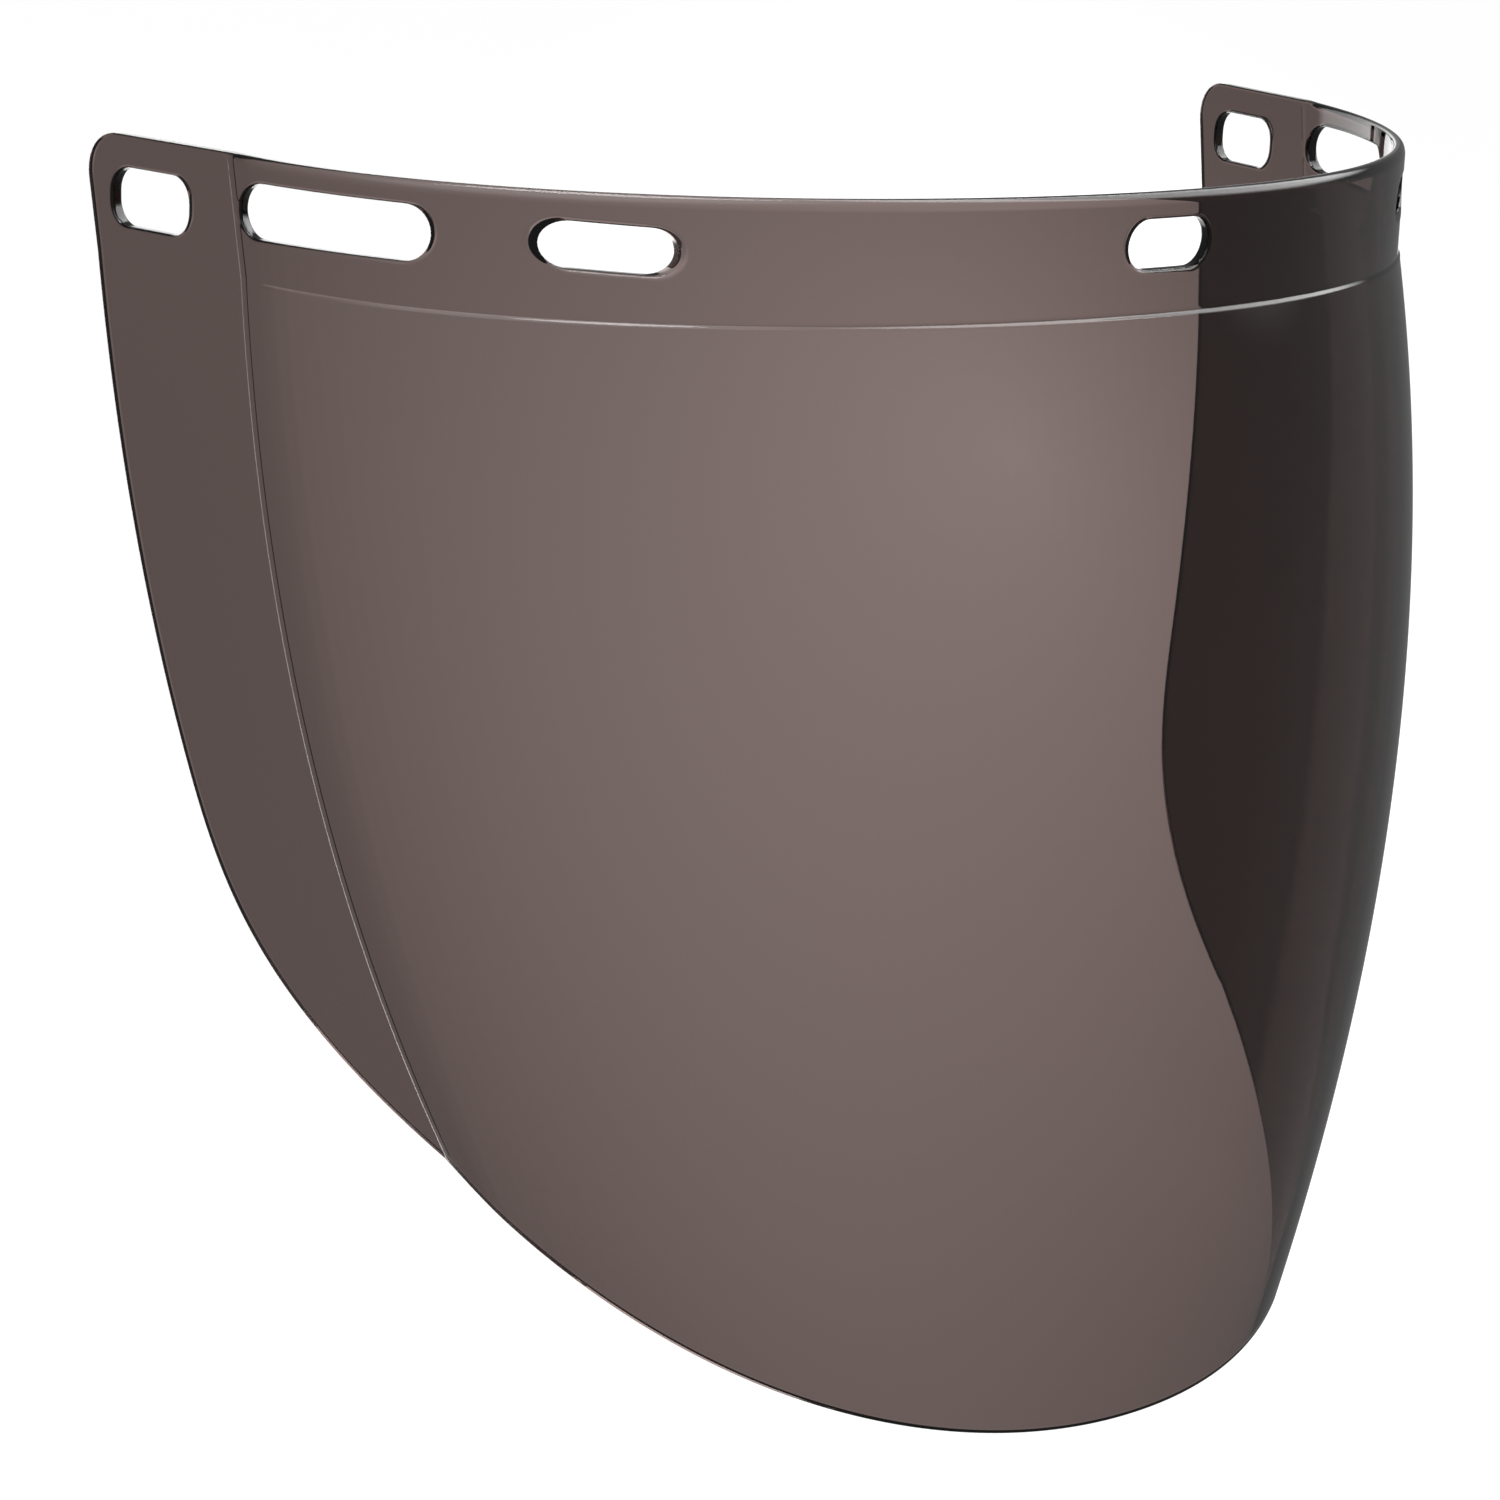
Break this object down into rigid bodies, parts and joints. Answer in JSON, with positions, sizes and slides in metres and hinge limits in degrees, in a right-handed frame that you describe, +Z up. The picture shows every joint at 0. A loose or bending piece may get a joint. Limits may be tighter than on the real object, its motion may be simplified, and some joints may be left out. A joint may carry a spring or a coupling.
{
  "type": "face shield visor",
  "caption": "One-piece moulded, tinted transparent face shield window with a slotted upper band and flat rear wings that hook onto a headgear frame.",
  "frame": {"origin": "midway between the two ear holes, on the line through their centres in the outer face", "axes": "+X to the wearer's left along the ear-hole line, -Y out of the front of the window, +Z up"},
  "size_m": [0.2948, 0.1653, 0.2377],
  "materials": {
    "tinted_window": "gloss, transparent smoke tint"
  },
  "bodies": {
    "root": {"visor": "tinted_window"}
  },
  "joints": []
}
